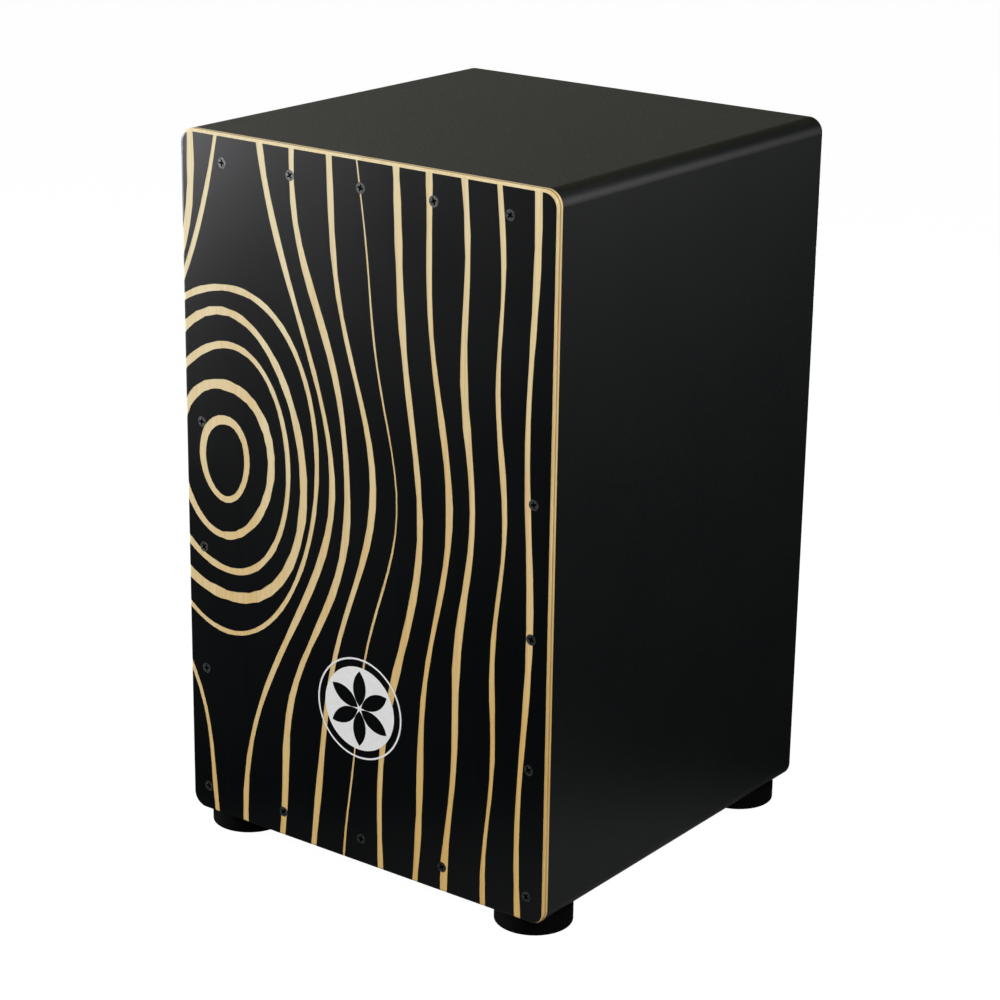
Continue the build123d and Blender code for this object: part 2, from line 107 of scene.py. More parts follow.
class Graph:
    """Short way to write a material's nodes."""

    def __init__(self, name, specular=0.5):
        self.material = bpy.data.materials.new(name)
        self.material.use_nodes = True
        self.tree = self.material.node_tree
        self.bsdf = self.tree.nodes["Principled BSDF"]
        self.bsdf.inputs["Specular IOR Level"].default_value = specular
        self.place = self.add("TexCoord").outputs["Object"]

    def add(self, kind, inputs=None, **settings):
        node = self.tree.nodes.new("ShaderNode" + kind)
        for key, value in settings.items():
            setattr(node, key, value)
        for key, value in (inputs or {}).items():
            self.put(node.inputs[key], value)
        return node

    def put(self, socket, value):
        if isinstance(value, bpy.types.NodeSocket):
            self.tree.links.new(value, socket)
        else:
            socket.default_value = value

    def scaled(self, stretch):
        """Object place in metres times a stretch along each axis."""
        return self.add("Mapping", {"Vector": self.place, "Scale": stretch}).outputs["Vector"]

    def noise(self, stretch, detail=3.0, roughness=0.55, distortion=0.0):
        """Noise whose cells are 1 / stretch metres across along each axis."""
        inputs = {
            "Vector": self.scaled(stretch),
            "Scale": 1.0,
            "Detail": detail,
            "Roughness": roughness,
            "Distortion": distortion,
        }
        return self.add("TexNoise", inputs).outputs["Fac"]

    def axis(self, name):
        return self.add("SeparateXYZ", {"Vector": self.place}).outputs[name]

    def math(self, operation, first, second=0.0):
        return self.add("Math", {0: first, 1: second}, operation=operation).outputs[0]

    def span(self, value, low, high, to_low=0.0, to_high=1.0):
        """Value mapped from low..high to to_low..to_high and held there."""
        inputs = {
            "Value": value, "From Min": low, "From Max": high, "To Min": to_low, "To Max": to_high,
        }
        return self.add("MapRange", inputs).outputs["Result"]

    def ramp(self, value, stops):
        """Colour ramp through (position, colour) stops."""
        node = self.add("ValToRGB", {"Fac": value})
        elements = node.color_ramp.elements
        while len(elements) < len(stops):
            elements.new(0.5)
        for element, (position, color) in zip(elements, stops):
            element.position = position
            element.color = (*color, 1)
        return node.outputs["Color"]

    def mix(self, amount, first, second):
        node = self.add("Mix", {0: amount}, data_type="RGBA")
        for socket, value in ((node.inputs[6], first), (node.inputs[7], second)):
            self.put(socket, value if isinstance(value, bpy.types.NodeSocket) else (*value, 1))
        return node.outputs[2]

    def bump(self, height, depth, strength=1.0, under=None):
        """Bump of a height field, depth in metres, on top of another bump."""
        inputs = {"Height": height, "Distance": depth, "Strength": strength}
        if under is not None:
            inputs["Normal"] = under
        return self.add("Bump", inputs).outputs["Normal"]

    def finish(self, color, roughness, normal=None, **others):
        self.put(self.bsdf.inputs["Base Color"], color)
        self.put(self.bsdf.inputs["Roughness"], roughness)
        if normal is not None:
            self.put(self.bsdf.inputs["Normal"], normal)
        for key, value in others.items():
            self.put(self.bsdf.inputs[key.replace("_", " ")], value)
        return self.material


SPRAY_SHEEN = (1.0, 0.96, 0.98)
SEAT_SHEEN = (1.0, 1.0, 0.78)
# How far the paint reaches in from each outer face, and where the seat's pebbling sets in
PAINT_IN_FROM_SIDE = 5 * MM
PAINT_IN_FROM_BACK = 3 * MM
PAINT_IN_FROM_BELOW = 4 * MM
PAINT_IN_FROM_TOP = 6 * MM
PEBBLE_START = 3 * MM
PEBBLE_FULL = 0.5 * MM


def painted_board():
    """Matt black sprayed paint outside, bare fibreboard inside, pebbled on the seat."""
    g = Graph("painted_board", specular=0.5)
    fine = g.noise((900, 900, 900), detail=2)
    pebble = g.noise((520, 520, 520), detail=3)
    broad = g.noise((14, 14, 14), detail=2)
    sides = g.mix(g.span(broad, 0.3, 0.7), (0.0022, 0.0036, 0.0039), (0.0034, 0.0048, 0.0050))
    seat = g.mix(g.span(pebble, 0.35, 0.65), (0.0060, 0.0060, 0.0030), (0.0200, 0.0200, 0.0130))
    on_seat = g.span(g.axis("Z"), PLATE_HIGH.z - PEBBLE_START, PLATE_HIGH.z - PEBBLE_FULL)
    paint = g.mix(on_seat, sides, seat)
    fibre = g.noise((700, 700, 700), detail=4, roughness=0.7)
    board = g.ramp(fibre, [(0.3, (0.42, 0.30, 0.17)), (0.7, (0.60, 0.46, 0.28))])
    half_x = SIZE.x / 2 - PAINT_IN_FROM_SIDE
    half_y = SIZE.y / 2 - PAINT_IN_FROM_BACK
    outside_x = g.math("GREATER_THAN", g.math("ABSOLUTE", g.axis("X")), half_x)
    outside_y = g.math("GREATER_THAN", g.axis("Y"), half_y)
    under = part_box("bottom_panel")[0].z + PAINT_IN_FROM_BELOW
    low = g.math("LESS_THAN", g.axis("Z"), under)
    high = g.math("GREATER_THAN", g.axis("Z"), PLATE_HIGH.z - PAINT_IN_FROM_TOP)
    beside = g.math("MAXIMUM", outside_x, outside_y)
    outside = g.math("MAXIMUM", beside, g.math("MAXIMUM", low, high))
    color = g.mix(outside, board, paint)
    sprayed = g.span(fine, 0.3, 0.7, 0.34, 0.42)
    pebbled = g.span(fine, 0.3, 0.7, 0.46, 0.56)
    roughness = g.add("Mix", {0: on_seat, 2: sprayed, 3: pebbled}).outputs[0]
    rough = g.add("Mix", {0: outside, 2: 0.85, 3: roughness}).outputs[0]
    tint = g.mix(on_seat, SPRAY_SHEEN, SEAT_SHEEN)
    normal = g.bump(g.math("MULTIPLY", pebble, on_seat), 0.00050, 0.7)
    normal = g.bump(fine, 0.00006, 0.5, under=normal)
    return g.finish(color, rough, normal, Specular_Tint=tint)


def plywood():
    """Three-ply: face veneer with painted shade, pale at the upper left and deepening downwards and
    to the right, browner core, pale back.
    """
    g = Graph("plywood", specular=0.35)
    fibre = g.noise((900, 40, 9), detail=4, roughness=0.65)
    bands = g.noise((45, 10, 1.6), detail=2, distortion=0.4)
    # The first ramp is the veneer as painted lit, the second as painted in shade; the bands' random
    # tone also moves between them
    pale = g.ramp(fibre, [(0.30, (0.86, 0.69, 0.38)), (0.50, (0.94, 0.79, 0.47)),
                          (0.72, (0.98, 0.87, 0.58))])
    shaded_veneer = g.ramp(fibre, [(0.30, (0.72, 0.44, 0.13)), (0.50, (0.81, 0.52, 0.17)),
                          (0.72, (0.90, 0.63, 0.25))])
    # Painted shade: the veneer deepens downwards and to the right, away from the light at the upper
    # left, with the bands' random tone on top
    shade_down = g.span(g.axis("Z"), PLATE_LOW.z, PLATE_HIGH.z, 0.85, -0.15)
    across = g.span(g.axis("X"), PLATE_LOW.x, PLATE_HIGH.x, -0.05, 0.40)
    shade_and_bands = g.math("ADD", g.math("ADD", shade_down, across), g.span(bands, 0.3, 0.7, -0.2, 0.2))
    veneer = g.mix(g.span(shade_and_bands, 0.0, 1.0), pale, shaded_veneer)
    depth = g.span(g.axis("Y"), FRONT_Y, FRONT_Y + PLATE_T)
    core_fibre = g.noise((60, 300, 60), detail=3)
    core = g.ramp(core_fibre, [(0.3, (0.40, 0.24, 0.085)), (0.7, (0.56, 0.36, 0.14))])
    in_core = g.math(
        "MULTIPLY", g.span(depth, 0.26, 0.34), g.span(depth, 0.56, 0.64, 1.0, 0.0)
    )
    color = g.mix(in_core, veneer, core)
    normal = g.bump(fibre, 0.00005, 0.6)
    return g.finish(color, g.span(fibre, 0.3, 0.7, 0.5, 0.38), normal)


def satin_print():
    """Smooth black printed coat that hardly shows the wood below it."""
    g = Graph("satin_print", specular=0.5)
    fibre = g.noise((700, 60, 12), detail=3)
    cloud = g.noise((9, 9, 9), detail=2)
    color = g.mix(g.span(fibre, 0.3, 0.7), (0.0005, 0.0011, 0.0013), (0.0009, 0.0015, 0.0018))
    gloss = g.span(cloud, 0.3, 0.7, 0.23, 0.26)
    roughness = g.math("ADD", gloss, g.span(fibre, 0.3, 0.7, -0.005, 0.005))
    normal = g.bump(fibre, 0.00001, 0.15)
    return g.finish(color, roughness, normal, Specular_Tint=(0.96, 0.95, 1.0, 1))


def white_print():
    """White screen print, a little uneven in its coverage."""
    g = Graph("white_print", specular=0.4)
    cloud = g.noise((400, 400, 400), detail=3)
    color = g.ramp(cloud, [(0.3, (0.93, 0.93, 0.92)), (0.7, (0.99, 0.99, 0.99))])
    return g.finish(color, g.span(cloud, 0.3, 0.7, 0.42, 0.5), g.bump(cloud, 0.00002, 0.4))


def softwood(name, dark, light, along):
    """Planed bare timber with its grain along one axis."""
    g = Graph(name, specular=0.3)
    stretch = [260.0, 260.0, 260.0]
    stretch["XYZ".index(along)] = 6.0
    rings = [90.0, 90.0, 90.0]
    rings["XYZ".index(along)] = 3.0
    fibre = g.noise(tuple(stretch), detail=4, roughness=0.6)
    ring = g.noise(tuple(rings), detail=2, distortion=0.5)
    color = g.mix(g.span(ring, 0.4, 0.62), g.ramp(fibre, [(0.3, dark), (0.7, light)]), dark)
    return g.finish(color, g.span(fibre, 0.3, 0.7, 0.72, 0.6), g.bump(fibre, 0.00008, 0.6))


def metal(name, color, roughness):
    """Bare or plated metal with small scratches and stains."""
    g = Graph(name)
    fine = g.noise((1500, 1500, 300), detail=3)
    cloud = g.noise((180, 180, 180), detail=2)
    low = tuple(0.8 * part for part in color)
    tint = g.mix(g.span(cloud, 0.35, 0.65), color, low)
    rough = g.span(fine, 0.3, 0.7, roughness - 0.07, roughness + 0.07)
    return g.finish(tint, rough, g.bump(fine, 0.00001, 0.5), Metallic=1.0)


def moulded(name, color, roughness, specular=0.4):
    """Moulded rubber or plastic with a fine spark-eroded grain."""
    g = Graph(name, specular)
    fine = g.noise((900, 900, 900), detail=2)
    cloud = g.noise((60, 60, 60), detail=2)
    low = tuple(0.75 * part for part in color)
    tint = g.mix(g.span(cloud, 0.35, 0.65), color, low)
    rough = g.span(fine, 0.3, 0.7, roughness - 0.06, roughness + 0.06)
    return g.finish(tint, rough, g.bump(fine, 0.00004, 0.7))


# How far below the outer faces the painted shade in the recess of a screw head begins and is fully
# black
RECESS_SHADE_START = 0.05 * MM
RECESS_SHADE_FULL = 0.2 * MM


def black_steel():
    """Blackened steel of the wood screws, with painted shade that turns everything deeper than the
    faces of their heads black.
    """
    g = Graph("black_steel")
    fine = g.noise((1600, 1600, 1600), detail=3)
    worn = g.noise((500, 500, 500), detail=3)
    worn_color = g.ramp(worn, [(0.36, (0.05, 0.052, 0.052)), (0.66, (0.15, 0.155, 0.155))])
    inward = g.math("SUBTRACT", SIZE.y / 2, g.math("ABSOLUTE", g.axis("Y")))
    # Painted shade: everything deeper than the outer faces, the cross recesses above all, is turned
    # black
    color = g.mix(g.span(inward, RECESS_SHADE_START, RECESS_SHADE_FULL), worn_color, (0.001, 0.001, 0.001))
    rough = g.span(fine, 0.3, 0.7, 0.30, 0.46)
    return g.finish(color, rough, g.bump(fine, 0.00001, 0.5), Metallic=0.9)


# Meshes ------------------------------------------------------------------------------------------


def new_piece(name, corners, faces, smooth=True):
    mesh = bpy.data.meshes.new(name)
    mesh.from_pydata([tuple(c) for c in corners], [], faces)
    mesh.update()
    if smooth:
        mesh.polygons.foreach_set("use_smooth", [True] * len(mesh.polygons))
    piece = bpy.data.objects.new(name, mesh)
    bpy.context.scene.collection.objects.link(piece)
    return piece


# Sheets cut from flat outlines -----------------------------------------------------------------


def smooth_path(points, step, closed=False):
    """Catmull-Rom curve through points, in steps of about one length."""
    p = np.array(points, float)
    if closed:
        p = np.vstack([p[-1], p, p[0], p[1]])
    else:
        p = np.vstack([2 * p[0] - p[1], p, 2 * p[-1] - p[-2]])
    out = []
    for a, b, c, d in zip(p[:-3], p[1:-2], p[2:-1], p[3:]):
        count = max(2, round(np.linalg.norm(c[:2] - b[:2]) / step))
        for t in np.arange(count) / count:
            out.append(
                0.5 * (2 * b + (c - a) * t + (2 * a - 5 * b + 4 * c - d) * t**2
                       + (3 * b - a - 3 * c + d) * t**3)
            )
    if not closed:
        out.append(p[-2])
    return np.array(out)


def stroke(points, chance):
    """Outline of a hand-cut line through (x, z, width) points: nearly straight runs that meet in
    slight corners, each with its own width."""
    path = smooth_path(points, CUT_STEP)
    width = path[:, 2] * (1 + chance.uniform(-WIDTH_STRAY, WIDTH_STRAY, len(path)))
    path = path[:, :2]
    along = np.gradient(path, axis=0)
    along /= np.linalg.norm(along, axis=1)[:, None]
    across = np.column_stack([-along[:, 1], along[:, 0]]) * width[:, None] / 2
    return np.vstack([path + across, (path - across)[::-1]])


def circle(center, radius, count):
    turn = np.arange(count) * 2 * math.pi / count
    return np.column_stack([center[0] + radius * np.cos(turn), center[1] + radius * np.sin(turn)])


def rounded_rectangle(low, high, radius):
    """Outline with quarter-circle corners, anticlockwise from the lower right."""
    corners = [(high[0], low[1], -90), (high[0], high[1], 0), (low[0], high[1], 90),
               (low[0], low[1], 180)]
    out = []
    for x, z, start in corners:
        cx = x - math.copysign(radius, x - (low[0] + high[0]) / 2)
        cz = z - math.copysign(radius, z - (low[1] + high[1]) / 2)
        for angle in np.radians(start + np.linspace(0, 90, CORNER_STEPS)):
            out.append((cx + radius * math.cos(angle), cz + radius * math.sin(angle)))
    return np.array(out)


def anticlockwise(outline):
    x, z = np.array(outline, float).T
    area = np.sum(x * np.roll(z, -1) - z * np.roll(x, -1))
    return outline if area > 0 else outline[::-1]


def plate_surface(x, z):
    """Point and outward normal of the plate's rounded front over a flat place (x, z)."""
    middle, half = (PLATE_LOW + PLATE_HIGH) / 2, (PLATE_HIGH - PLATE_LOW) / 2
    side_x, side_z = math.copysign(1, x - middle.x), math.copysign(1, z - middle.z)
    over_x = abs(x - middle.x) - half.x + PLATE_CORNER
    over_z = abs(z - middle.z) - half.z + PLATE_CORNER
    if over_x > 0 and over_z > 0:
        reach = math.hypot(over_x, over_z)
        out = Vector((side_x * over_x / reach, 0, side_z * over_z / reach))
    elif over_x > over_z:
        reach, out = over_x, Vector((side_x, 0, 0))
    else:
        reach, out = over_z, Vector((0, 0, side_z))
    lean = min(1, max(0, 1 - (PLATE_CORNER - reach) / PLATE_ROUNDOVER))
    upright = math.sqrt(1 - lean**2)
    point = Vector((x, FRONT_Y + PLATE_ROUNDOVER * (1 - upright), z))
    return point, lean * out - Vector((0, upright, 0))


def cut_sheet(name, wanted, outlines, over, under):
    """Closed sheet lying over the plate's front between two heights above its surface, made of
    the flat cells that wanted(set of outlines around the cell) picks."""
    points, faces = [], []
    for outline in outlines:
        faces.append(list(range(len(points), len(points) + len(outline))))
        points += [Vector((float(x), float(z))) for x, z in anticlockwise(outline)]
    flat, _, cells, _, _, sources = delaunay_2d_cdt(points, [], faces, 1, 1e-8)
    picked = [cell for cell, source in zip(cells, sources) if wanted(set(source))]
    used = sorted({index for cell in picked for index in cell})
    place = {index: number for number, index in enumerate(used)}
    total = len(used)
    base = [plate_surface(*flat[i]) for i in used]
    corners = [point + height * normal for height in (over, under) for point, normal in base]
    edges = set()
    solid = []
    for cell in picked:
        ring = [place[i] for i in cell]
        solid.append(ring)
        solid.append([i + total for i in reversed(ring)])
        edges.update(zip(ring, ring[1:] + ring[:1]))
    for a, b in sorted(edges):
        if (b, a) not in edges:
            solid.append([b, a, a + total, b + total])
    return new_piece(name, corners, solid, smooth=False)


# The print on the front plate --------------------------------------------------------------------

# Wood grain left bare in the black print: ovals round one knot, and upright lines that part to
# pass it. Sizes are in millimetres, places from the middle of the plate's bottom edge.
GRAIN_SEED = 19
PLATE_TALL = 460.0
PLATE_HALF_WIDE = 145.0
# How far the ovals and the left-hand lines are drawn on beyond the plate's left edge
OVAL_MARGIN = 8.0
LEFT_MARGIN = 24.0
KNOT_AT = (-112.0, 250.0)
# Half width, half height and line width of each oval
OVALS = [(18, 28, 5.2), (37, 53, 5.8), (52, 79, 4.6), (63, 100, 6.2), (74, 121, 3.8)]
OVAL_POINTS = 36
RING_EVERY = 3
# Unevenness of the ovals: a skew whose direction strays a little, and dents
OVAL_SKEW = 0.05
OVAL_SKEW_TURN = 1.4
OVAL_LEAN_STRAY = 0.3
OVAL_DENT = 0.025
# Where the first and last line right of the knot stand at the plate's top, beside the knot and
# at its bottom. Above 1, CROWDING packs the lines closer to the knot.
LINE_COUNT = 9
LINES_TOP = (-84, 131)
LINES_BESIDE = (-20, 131)
LINES_BOTTOM = (-98, 128)
CROWDING = 1.22
LINE_WIDTHS = (3.2, 5.2)
HAIRLINES = {3: 1.5}
# The same three places for each line that leaves over the left edge, and its width
LEFT_LINES = [(-133, -176, -190, 5.0), (-110, -192, -230, 3.2), (-190, -230, -120, 3.6)]
# How far above and below its middle the knot pushes the lines aside, how far their places stray,
# and how high and long their own waves are
SWAY_UP = 124.0
SWAY_STRAY = 2.6
WAVE_HEIGHT = 2.4
WAVE_LENGTHS = (150.0, 260.0)
# Spacing of a line's control points, and how far it runs on past the plate's ends
LINE_STEP = 26.0
LINE_END = 4.0
# Spacing of the corners that make the lines look cut by hand, and how far their width strays
CUT_STEP = 13.0
KNOT_STEP = 5.0
WIDTH_STRAY = 0.12
WIDTH_SWELL = 0.18

PLATE_CORNER = 10.0 * MM
PLATE_ROUNDOVER = 1.8 * MM
ROUNDOVER_STEPS = (0.75, 1.1, 1.45, 1.8)
CORNER_STEPS = 10
# The print sits low and to the left on its plate: it runs over the left and lower edges and
# leaves a bare rim at the right and top.
PRINT_RIM_LOW = 0.45 * MM
PRINT_RIM_RIGHT = 1.5 * MM
PRINT_RIM_TOP = 1.9 * MM
PRINT_CORNER = 8.6 * MM
PRINT_T = 0.12 * MM
PRINT_UNDER = 0.06 * MM
EMBLEM_T = 0.05 * MM
# The screw windows stop close round the heads: the print's black is carried over the gap round each
# head as painted shade
SCREW_WINDOW = 3.52 * MM
WINDOW_SIDES = 32

# White emblem: a six-petal rosette in a ring
EMBLEM_AT = (-1.0, 107.0)
EMBLEM_RING = (34.0, 32.8)
EMBLEM_DISC = 28.0
PETAL_REACH = 24.0
PETAL_HALF_WIDTH = 5.2
PETAL_FROM_MIDDLE = 1.5
PETAL_STEPS = 15
PETALS = 6
EMBLEM_SIDES = 96


def on_plate(points):
    """Plate millimetres to metres in the frame's x and z."""
    return np.array(points, float) * MM + (CENTRE.x, PLATE_LOW.z)


def oval(half_width, half_height, width, chance):
    """(x, height, width) points of an uneven oval about the knot, round from its left side."""
    turn = np.linspace(-math.pi, math.pi, OVAL_POINTS, endpoint=False)
    lean = OVAL_SKEW_TURN + chance.uniform(-OVAL_LEAN_STRAY, OVAL_LEAN_STRAY)
    own = chance.uniform(0, 2 * math.pi)
    swell = 1 + OVAL_SKEW * np.sin(2 * turn + lean) + OVAL_DENT * np.sin(3 * turn + own)
    x = KNOT_AT[0] + half_width * swell * np.cos(turn)
    z = KNOT_AT[1] + half_height * swell * np.sin(turn)
    thick = width * (1 + WIDTH_SWELL * np.sin(turn + own))
    return np.column_stack([x, z, thick])


def grain_line(top, beside, bottom, width, chance):
    """(x, height, width) points of a wavy upright line, pushed aside by the knot."""
    z = np.arange(PLATE_TALL + LINE_END, -LINE_END - LINE_STEP, -LINE_STEP)
    pushed = np.exp(-(((z - KNOT_AT[1]) / SWAY_UP) ** 2))
    far = np.where(z > KNOT_AT[1], top, bottom)
    length = chance.uniform(*WAVE_LENGTHS)
    phase = chance.uniform(0, 2 * math.pi)
    wave = WAVE_HEIGHT * np.sin(2 * math.pi * z / length + phase)
    thick = width * (1 + WIDTH_SWELL * np.sin(2 * math.pi * z / length - phase))
    return np.column_stack([far + (beside - far) * pushed + wave, z, thick])


def grain_paths(chance):
    """Paths of all grain lines but the innermost oval."""
    paths = []
    for half_width, half_height, width in OVALS[1:]:
        path = oval(half_width, half_height, width, chance)
        paths.append(path[path[:, 0] > -PLATE_HALF_WIDE - OVAL_MARGIN])
    along = np.linspace(0, 1, LINE_COUNT)
    top = np.interp(along, (0, 1), LINES_TOP)
    bottom = np.interp(along, (0, 1), LINES_BOTTOM)
    beside = np.interp(along**CROWDING, (0, 1), LINES_BESIDE)
    for index, places in enumerate(zip(top, beside, bottom)):
        places = places + chance.uniform(-SWAY_STRAY, SWAY_STRAY, 3)
        width = HAIRLINES.get(index, chance.uniform(*LINE_WIDTHS))
        paths.append(grain_line(*places, width, chance))
    for line in LEFT_LINES:
        path = grain_line(*line, chance)
        paths.append(path[path[:, 0] > -PLATE_HALF_WIDE - LEFT_MARGIN])
    return paths


def knot_ring(chance):
    """Outer and inner outline of the innermost oval."""
    half_width, half_height, width = OVALS[0]
    path = oval(half_width, half_height, width, chance)
    middle = np.array(KNOT_AT)
    out = path[:, :2] - middle
    reach = np.linalg.norm(out, axis=1)[:, None]
    outlines = []
    for side in (1, -1):
        points = middle + out * (1 + side * path[:, 2:] / 2 / reach)
        outlines.append(smooth_path(points[::RING_EVERY], KNOT_STEP, closed=True))
    return outlines


def screw_centres():
    """Middle of each front plate screw in x and z."""
    return [((s[:, 0].min() + s[:, 0].max()) / 2, (s[:, 2].min() + s[:, 2].max()) / 2)
            for s in islands("front_plate_screws")]


def front_print():
    """Thin black coat over the front plate with windows for the grain lines and screws, but none
    under the emblem."""
    low = (PLATE_LOW.x + PRINT_RIM_LOW, PLATE_LOW.z + PRINT_RIM_LOW)
    high = (PLATE_HIGH.x - PRINT_RIM_RIGHT, PLATE_HIGH.z - PRINT_RIM_TOP)
    outlines = [rounded_rectangle(low, high, PRINT_CORNER)]
    chance = np.random.default_rng(GRAIN_SEED)
    outlines += [on_plate(outline) for outline in knot_ring(chance)]
    outlines += [on_plate(stroke(points, chance)) for points in grain_paths(chance)]
    outlines += [circle(centre, SCREW_WINDOW, WINDOW_SIDES) for centre in screw_centres()]
    windows = set(range(3, len(outlines)))
    under_emblem = len(outlines)
    outlines.append(on_plate(circle(EMBLEM_AT, EMBLEM_DISC, EMBLEM_SIDES)))
    for step in ROUNDOVER_STEPS:
        inset = step * MM
        outlines.append(rounded_rectangle(
            (PLATE_LOW.x + inset, PLATE_LOW.z + inset),
            (PLATE_HIGH.x - inset, PLATE_HIGH.z - inset), PLATE_CORNER - inset,
        ))

    def is_print(inside):
        in_ring = 1 in inside and 2 not in inside
        bare = in_ring or inside & windows
        return 0 in inside and (under_emblem in inside or not bare)

    return cut_sheet("front_print", is_print, outlines, PRINT_T, -PRINT_UNDER)


def petal(turn):
    """Pointed petal from the rosette's middle outwards, between two equal arcs."""
    half = PETAL_REACH / 2
    radius = (half**2 + PETAL_HALF_WIDTH**2) / (2 * PETAL_HALF_WIDTH)
    reach = math.asin(half / radius)
    angles = np.linspace(-reach, reach, PETAL_STEPS)
    x = np.concatenate([radius * np.sin(angles), radius * np.sin(-angles[1:-1])])
    x += half + PETAL_FROM_MIDDLE
    rise = radius * np.cos(angles) - (radius - PETAL_HALF_WIDTH)
    y = np.concatenate([rise, -rise[1:-1]])
    c, s = math.cos(turn), math.sin(turn)
    return np.column_stack([x * c - y * s, x * s + y * c]) + EMBLEM_AT


def emblem():
    """White ring and disc with a rosette left out of it, printed over the black."""
    radii = (*EMBLEM_RING, EMBLEM_DISC)
    outlines = [on_plate(circle(EMBLEM_AT, radius, EMBLEM_SIDES)) for radius in radii]
    sector = 2 * math.pi / PETALS
    outlines += [on_plate(petal(sector * (i + 0.5))) for i in range(PETALS)]
    petals = set(range(3, len(outlines)))

    def is_white(inside):
        in_ring = 0 in inside and 1 not in inside
        return in_ring or (2 in inside and not inside & petals)

    return cut_sheet("print_emblem", is_white, outlines, PRINT_T + EMBLEM_T, PRINT_T)


# Snare wires -----------------------------------------------------------------------------------

COIL_PITCH = 1.5 * MM
COIL_WIRE_R = 0.19 * MM
COIL_STEPS = 10
COIL_WIRE_SIDES = 4
END_FACE = 0.01 * MM


def bar_ends(points):
    """Middles of the two end faces of a straight round bar, and its radius."""
    middle = points.mean(0)
    axis = np.linalg.svd(points - middle, full_matrices=False)[2][0]
    axis = axis * math.copysign(1, axis[2])
    run = (points - middle) @ axis
    low_face = points[run < run.min() + END_FACE]
    low = low_face.mean(0)
    high = points[run > run.max() - END_FACE].mean(0)
    radius = np.linalg.norm(low_face - low, axis=1).max()
    return low, high, radius


def tube(path, radius, sides, start_index):
    """Corners and faces of a closed tube along a path."""
    along = np.gradient(path, axis=0)
    along /= np.linalg.norm(along, axis=1)[:, None]
    side = np.cross(along, (0.0, 1.0, 0.0))
    side /= np.linalg.norm(side, axis=1)[:, None]
    up = np.cross(side, along)
    corners = []
    for k in range(sides):
        turn = 2 * math.pi * k / sides
        corners.append(path + radius * (math.cos(turn) * side + math.sin(turn) * up))
    corners = np.stack(corners, 1).reshape(-1, 3)
    faces = []
    rings = len(path)
    for i in range(rings - 1):
        for k in range(sides):
            a, b = i * sides + k, i * sides + (k + 1) % sides
            faces.append([start_index + n for n in (a, b, b + sides, a + sides)])
    faces.append([start_index + k for k in reversed(range(sides))])
    faces.append([start_index + (rings - 1) * sides + k for k in range(sides)])
    return corners, faces


def coil_path(low, high, radius):
    """Helix between two points."""
    length = np.linalg.norm(high - low)
    axis = (high - low) / length
    side = np.cross(axis, (0.0, 1.0, 0.0))
    side /= np.linalg.norm(side)
    other = np.cross(axis, side)
    turns = length / COIL_PITCH
    t = np.linspace(0, turns, round(turns * COIL_STEPS))
    angle = 2 * math.pi * t[:, None]
    around = np.cos(angle) * side + np.sin(angle) * other
    return low + axis * (t * COIL_PITCH)[:, None] + radius * around


def snare_coils(side):
    """Coiled spring wires in place of the plain bars of one fan."""
    corners, faces, count = [], [], 0
    for wire in islands(f"snare_wires_{side}"):
        low, high, radius = bar_ends(wire)
        path = coil_path(low, high, radius - COIL_WIRE_R)
        made, quads = tube(path, COIL_WIRE_R, COIL_WIRE_SIDES, count)
        corners.append(made)
        faces += quads
        count += len(made)
    piece = new_piece(f"snare_coils_{side}", np.vstack(corners), faces)
    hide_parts(f"snare_wires_{side}")
    return piece


# Tension screw ---------------------------------------------------------------------------------

THREAD_PITCH = 1.0 * MM
THREAD_DEPTH = 0.53 * MM
THREAD_LENGTH = 100.0 * MM
THREAD_STEPS = 6
THREAD_SIDES = 24
THREAD_TIP = 0.8 * MM
TIP_NARROWER = 0.3 * MM
SHARP_ANGLE = math.radians(35)
ROD_R = 2.95 * MM
HEAD_TALL = 6.0 * MM
HEAD_CHAMFER = 0.5 * MM
HEX_ACROSS_FLATS = 5.0 * MM
HEX_DEPTH = 3.0 * MM


def skin(rings, sides, at):
    """Closed mesh through rings of (radius at each angle, height) about an upright axis."""
    turn = np.arange(sides) * 2 * math.pi / sides
    corners = [(at.x, at.y, rings[0][1])]
    for radii, z in rings:
        x, y = at.x + radii * np.cos(turn), at.y + radii * np.sin(turn)
        corners += zip(x, y, np.full(sides, z))
    corners.append((at.x, at.y, rings[-1][1]))
    last = len(corners) - 1
    faces = []
    for k in range(sides):
        following = (k + 1) % sides
        faces.append([0, 1 + k, 1 + following])
        faces.append([last, last - sides + following, last - sides + k])
        for i in range(len(rings) - 1):
            a, b = 1 + i * sides + k, 1 + i * sides + following
            faces.append([b, a, a + sides, b + sides])
    return corners, faces


